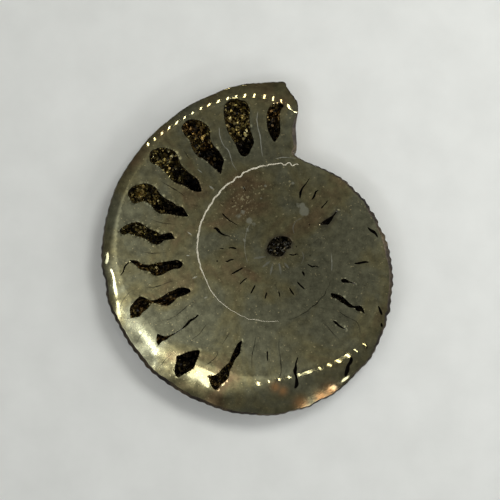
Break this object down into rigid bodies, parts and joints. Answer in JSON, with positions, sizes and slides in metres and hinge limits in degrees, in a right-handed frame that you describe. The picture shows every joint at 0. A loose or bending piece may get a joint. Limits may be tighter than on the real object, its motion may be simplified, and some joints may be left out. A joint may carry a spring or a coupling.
{
  "type": "ammonite fossil half",
  "caption": "Polished half of a pyritised ammonite, with open crystal-lined chambers on the cut face and natural ribs on the back, lying flat.",
  "frame": {"origin": "on the surface the fossil rests on, under the middle of its outline", "axes": "+Z out of the polished face, +Y from the middle towards the broken end of the outer whorl, +X to the side where the whorl is smallest"},
  "size_m": [0.0403, 0.0465, 0.0057],
  "materials": {
    "pyritised_shell": "polished"
  },
  "bodies": {
    "root": {"ammonite_half": "pyritised_shell"}
  },
  "joints": []
}
